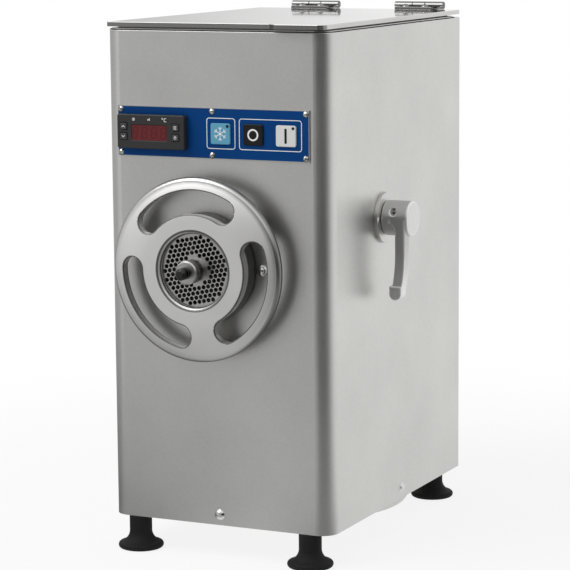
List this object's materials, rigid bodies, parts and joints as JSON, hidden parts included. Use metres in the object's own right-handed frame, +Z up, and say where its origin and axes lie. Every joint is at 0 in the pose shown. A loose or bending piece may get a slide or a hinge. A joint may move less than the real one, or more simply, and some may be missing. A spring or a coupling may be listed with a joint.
{
  "type": "electric meat grinder",
  "caption": "Upright stainless electric meat grinder with chilled barrel, handwheel nut over a drilled plate, blue control panel, hinged hopper lid and side lock lever.",
  "frame": {"origin": "on the floor plane, under the middle of the whole outline", "axes": "+Z up, front with the handwheel towards -Y, lock lever on the +X wall"},
  "size_m": [0.2768, 0.415, 0.5359],
  "materials": {
    "satin_steel": "satin ground stainless sheet",
    "lid_steel": "bright rolled stainless sheet",
    "polished_steel": "polished stainless",
    "cast_steel": "machined stainless casting",
    "plate_steel": "ground stainless plate",
    "gear_steel": "oiled machined steel",
    "case_alloy": "die-cast alloy",
    "foot_rubber": "moulded black rubber",
    "gasket_rubber": "black seal",
    "panel_blue": "blue printed face on metal",
    "bezel_black": "moulded charcoal plastic",
    "window_red": "clear red display window",
    "key_grey": "moulded key",
    "button_blue": "light blue key",
    "button_black": "black key",
    "button_white": "white key",
    "white_plastic": "white food plastic",
    "copper": "drawn copper",
    "black_enamel": "black baked enamel",
    "motor_grey": "grey enamel",
    "electric_plastic": "moulded electrical plastic"
  },
  "bodies": {
    "cabinet": {"cabinet_wrap": "satin_steel", "back_panel": "satin_steel", "base_pan": "satin_steel", "floor_dish": "satin_steel", "drive_shelf": "satin_steel", "rubber_feet": "foot_rubber", "foot_bolts": "gear_steel", "case_screws": "polished_steel", "hopper_tray": "lid_steel", "feed_chute": "lid_steel", "hinge_cabinet_leaves": "polished_steel", "hinge_pins": "polished_steel", "chill_sleeve": "cast_steel", "evaporator_jacket": "copper", "grinding_barrel": "cast_steel", "grinding_plate": "plate_steel", "plate_bush": "plate_steel", "front_stop_pin": "polished_steel", "lock_flange": "satin_steel", "gearbox_case": "case_alloy", "gearbox_cover": "case_alloy", "gear_bearings": "gear_steel", "motor_shell": "motor_grey", "stator": "gear_steel", "motor_end_shield": "case_alloy", "compressor": "black_enamel", "condenser": "case_alloy", "condenser_fan_motor": "black_enamel", "refrigerant_pipes": "copper", "control_panel": "panel_blue", "panel_screws": "polished_steel", "thermostat_body": "electric_plastic", "thermostat_bezel": "bezel_black", "thermostat_window": "window_red", "switch_blocks": "electric_plastic", "control_box": "electric_plastic", "cable_gland": "electric_plastic"},
    "lid": {"lid": "lid_steel", "lid_liner": "white_plastic", "lid_gasket": "gasket_rubber", "hinge_lid_leaves": "polished_steel", "hinge_lid_screws": "polished_steel"},
    "lock_lever": {"lock_lever": "cast_steel", "lock_shaft": "gear_steel", "lever_set_screw": "gear_steel"},
    "nut_feed": {"thrust_ring": "white_plastic"},
    "ring_nut": {"ring_nut_wheel": "polished_steel"},
    "worm_drive": {"worm": "cast_steel", "knife": "plate_steel", "output_gear": "gear_steel"},
    "countershaft": {"counter_gears": "gear_steel"},
    "rotor": {"rotor": "gear_steel"},
    "condenser_fan": {"condenser_fan": "white_plastic"},
    "cold_button": {"cold_button": "button_blue"},
    "stop_button": {"stop_button": "button_black"},
    "start_button": {"start_button": "button_white"},
    "key_up": {"key_up": "key_grey"},
    "key_down": {"key_down": "key_grey"},
    "key_set": {"key_set": "key_grey"},
    "key_power": {"key_power": "key_grey"}
  },
  "joints": [
    {"name": "lid_open", "type": "hinge", "parent": "cabinet", "child": "lid", "pos_m": [-0.01485, 0.1955, 0.5319], "axis": [-1, 0, 0], "range_deg": [0, 105]},
    {"name": "nut_feed", "type": "slide", "parent": "cabinet", "child": "nut_feed", "axis": [0, -1, 0], "range_m": [0, 0.012]},
    {"name": "nut_turn", "type": "hinge", "parent": "nut_feed", "child": "ring_nut", "pos_m": [-0.02585, -0.1695, 0.2912], "axis": [0, -1, 0], "range_deg": [0, 1080]},
    {"name": "lever_turn", "type": "hinge", "parent": "cabinet", "child": "lock_lever", "pos_m": [0.10615, -0.0205, 0.331], "axis": [1, 0, 0], "range_deg": [0, 180]},
    {"name": "worm_spin", "type": "hinge", "parent": "cabinet", "child": "worm_drive", "pos_m": [-0.02585, -0.0825, 0.2912], "axis": [0, 1, 0], "continuous": true},
    {"name": "counter_spin", "type": "hinge", "parent": "cabinet", "child": "countershaft", "pos_m": [0.0214, 0.0175, 0.2912], "axis": [0, 1, 0], "continuous": true},
    {"name": "rotor_spin", "type": "hinge", "parent": "cabinet", "child": "rotor", "pos_m": [-0.02585, 0.1175, 0.2912], "axis": [0, 1, 0], "continuous": true},
    {"name": "fan_spin", "type": "hinge", "parent": "cabinet", "child": "condenser_fan", "pos_m": [-0.02285, 0.1375, 0.1015], "axis": [0, 1, 0], "continuous": true},
    {"name": "cold_press", "type": "slide", "parent": "cabinet", "child": "cold_button", "axis": [0, 1, 0], "range_m": [0, 0.0015], "stiffness_N_per_m": 600},
    {"name": "stop_press", "type": "slide", "parent": "cabinet", "child": "stop_button", "axis": [0, 1, 0], "range_m": [0, 0.0015], "stiffness_N_per_m": 600},
    {"name": "start_press", "type": "slide", "parent": "cabinet", "child": "start_button", "axis": [0, 1, 0], "range_m": [0, 0.0015], "stiffness_N_per_m": 600},
    {"name": "up_press", "type": "slide", "parent": "cabinet", "child": "key_up", "axis": [0, 1, 0], "range_m": [0, 0.0005], "stiffness_N_per_m": 800},
    {"name": "down_press", "type": "slide", "parent": "cabinet", "child": "key_down", "axis": [0, 1, 0], "range_m": [0, 0.0005], "stiffness_N_per_m": 800},
    {"name": "set_press", "type": "slide", "parent": "cabinet", "child": "key_set", "axis": [0, 1, 0], "range_m": [0, 0.0005], "stiffness_N_per_m": 800},
    {"name": "power_press", "type": "slide", "parent": "cabinet", "child": "key_power", "axis": [0, 1, 0], "range_m": [0, 0.0005], "stiffness_N_per_m": 800}
  ],
  "couplings": [
    {"joint": "nut_feed", "follows": "nut_turn", "m_per_rad": 0.0006366},
    {"joint": "counter_spin", "follows": "worm_spin", "ratio": -2.8571},
    {"joint": "rotor_spin", "follows": "worm_spin", "ratio": 8.1633}
  ]
}
